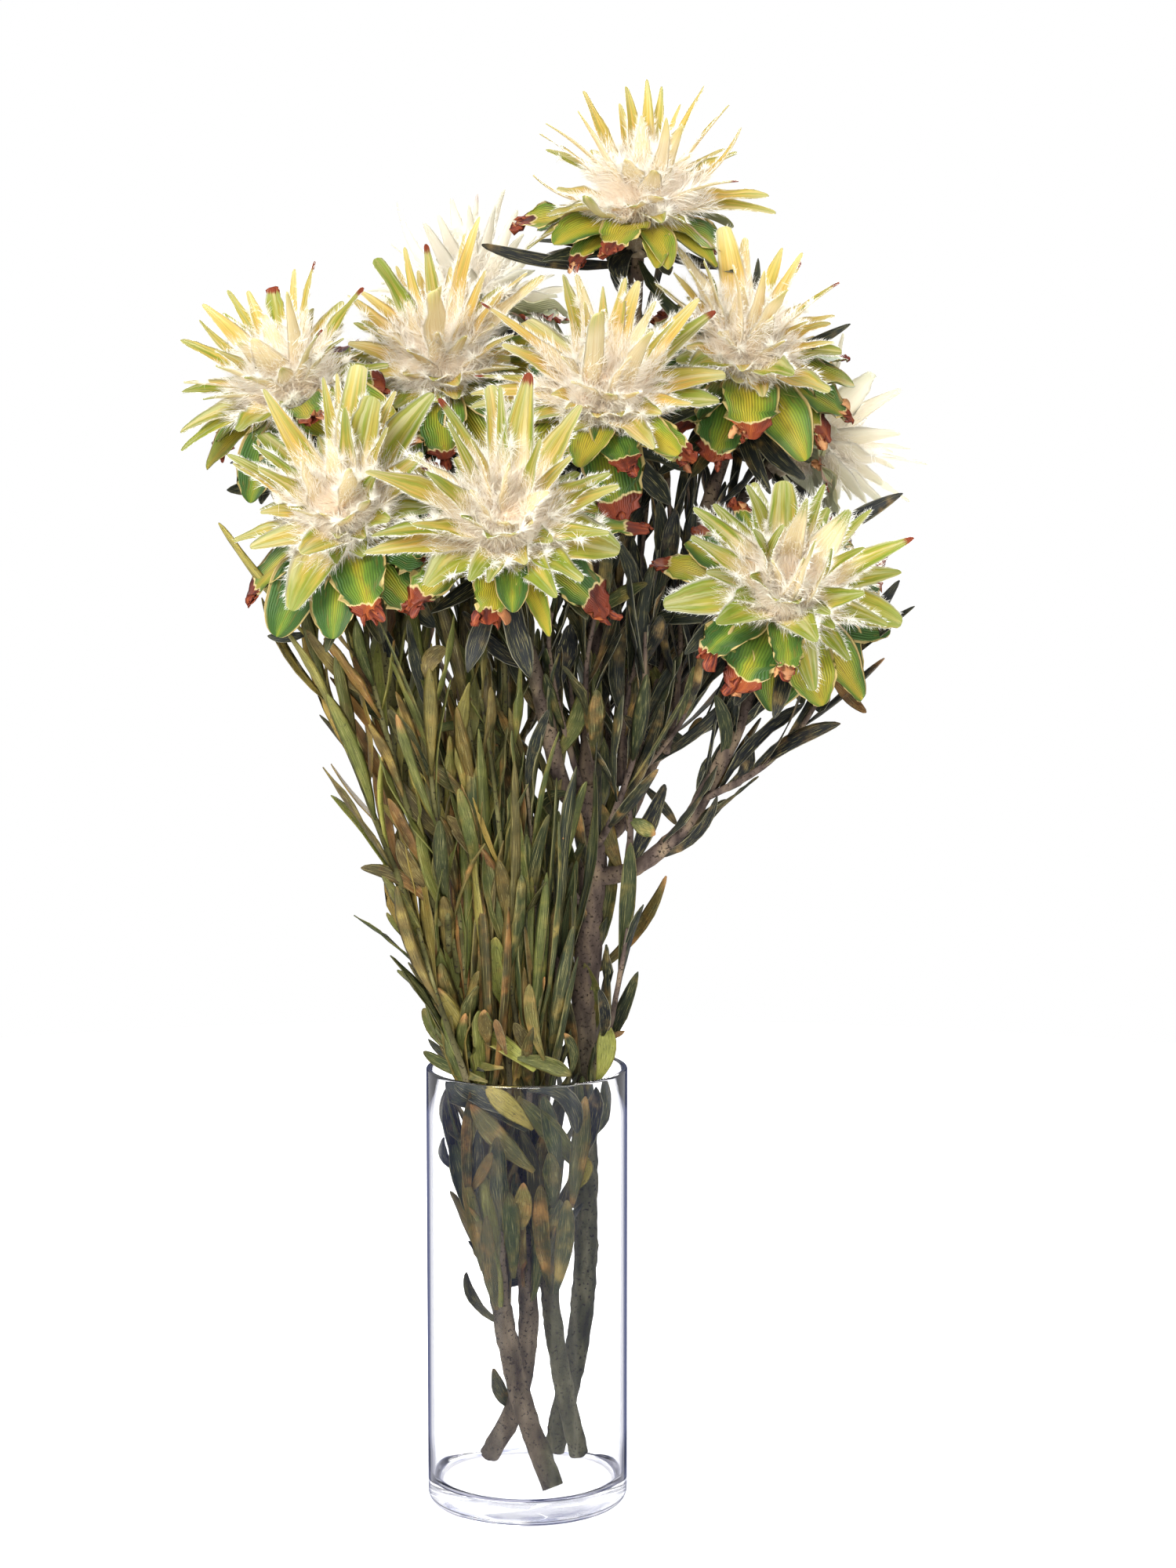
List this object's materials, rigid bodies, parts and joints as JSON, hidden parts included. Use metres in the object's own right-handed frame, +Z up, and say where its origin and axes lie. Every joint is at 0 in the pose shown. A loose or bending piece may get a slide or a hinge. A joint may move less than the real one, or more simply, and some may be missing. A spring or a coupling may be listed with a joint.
{
  "type": "bouquet of preserved protea in glass cylinder vase",
  "caption": "Tall bunch of preserved protea stems with star-shaped cream and green felted flower heads and narrow leaves, standing in a clear straight glass vase.",
  "frame": {"origin": "centre of the vase's flat foot, on the table", "axes": "+Z up, -Y the bouquet's front, +X to the right seen from the front"},
  "size_m": [0.3872, 0.313, 0.7006],
  "materials": {
    "clear_glass": "gloss",
    "woody_bark": "matte",
    "leathery_leaf": "satin",
    "green_bract": "satin",
    "cream_bract": "matte",
    "felted_wool": "matte"
  },
  "bodies": {
    "root": {"vase": "clear_glass", "stem_left": "woody_bark", "stem_crossing": "woody_bark", "stem_green": "woody_bark", "stem_trunk": "woody_bark", "branch_leader": "woody_bark", "branch_front": "woody_bark", "branch_right": "woody_bark", "branch_back_right": "woody_bark", "branch_upper_right": "woody_bark", "branch_top": "woody_bark", "branch_back": "woody_bark", "receptacle_1": "felted_wool", "outer_bracts_1": "green_bract", "inner_bracts_1": "cream_bract", "receptacle_2": "felted_wool", "outer_bracts_2": "green_bract", "inner_bracts_2": "cream_bract", "receptacle_3": "felted_wool", "outer_bracts_3": "green_bract", "inner_bracts_3": "cream_bract", "receptacle_4": "felted_wool", "outer_bracts_4": "green_bract", "inner_bracts_4": "cream_bract", "receptacle_5": "felted_wool", "outer_bracts_5": "green_bract", "inner_bracts_5": "cream_bract", "receptacle_6": "felted_wool", "outer_bracts_6": "green_bract", "inner_bracts_6": "cream_bract", "receptacle_7": "felted_wool", "outer_bracts_7": "green_bract", "inner_bracts_7": "cream_bract", "receptacle_8": "felted_wool", "outer_bracts_8": "green_bract", "inner_bracts_8": "cream_bract", "receptacle_9": "felted_wool", "outer_bracts_9": "green_bract", "inner_bracts_9": "cream_bract", "receptacle_10": "felted_wool", "outer_bracts_10": "green_bract", "inner_bracts_10": "cream_bract", "leafy_twig_1": "leathery_leaf", "leafy_twig_2": "leathery_leaf", "leafy_twig_3": "leathery_leaf", "leafy_twig_4": "leathery_leaf", "leafy_twig_5": "leathery_leaf", "leafy_twig_6": "leathery_leaf", "leafy_twig_7": "leathery_leaf", "leafy_twig_8": "leathery_leaf", "leafy_twig_9": "leathery_leaf", "leafy_twig_10": "leathery_leaf", "leafy_twig_11": "leathery_leaf", "leafy_twig_12": "leathery_leaf", "leafy_twig_13": "leathery_leaf"}
  },
  "joints": []
}
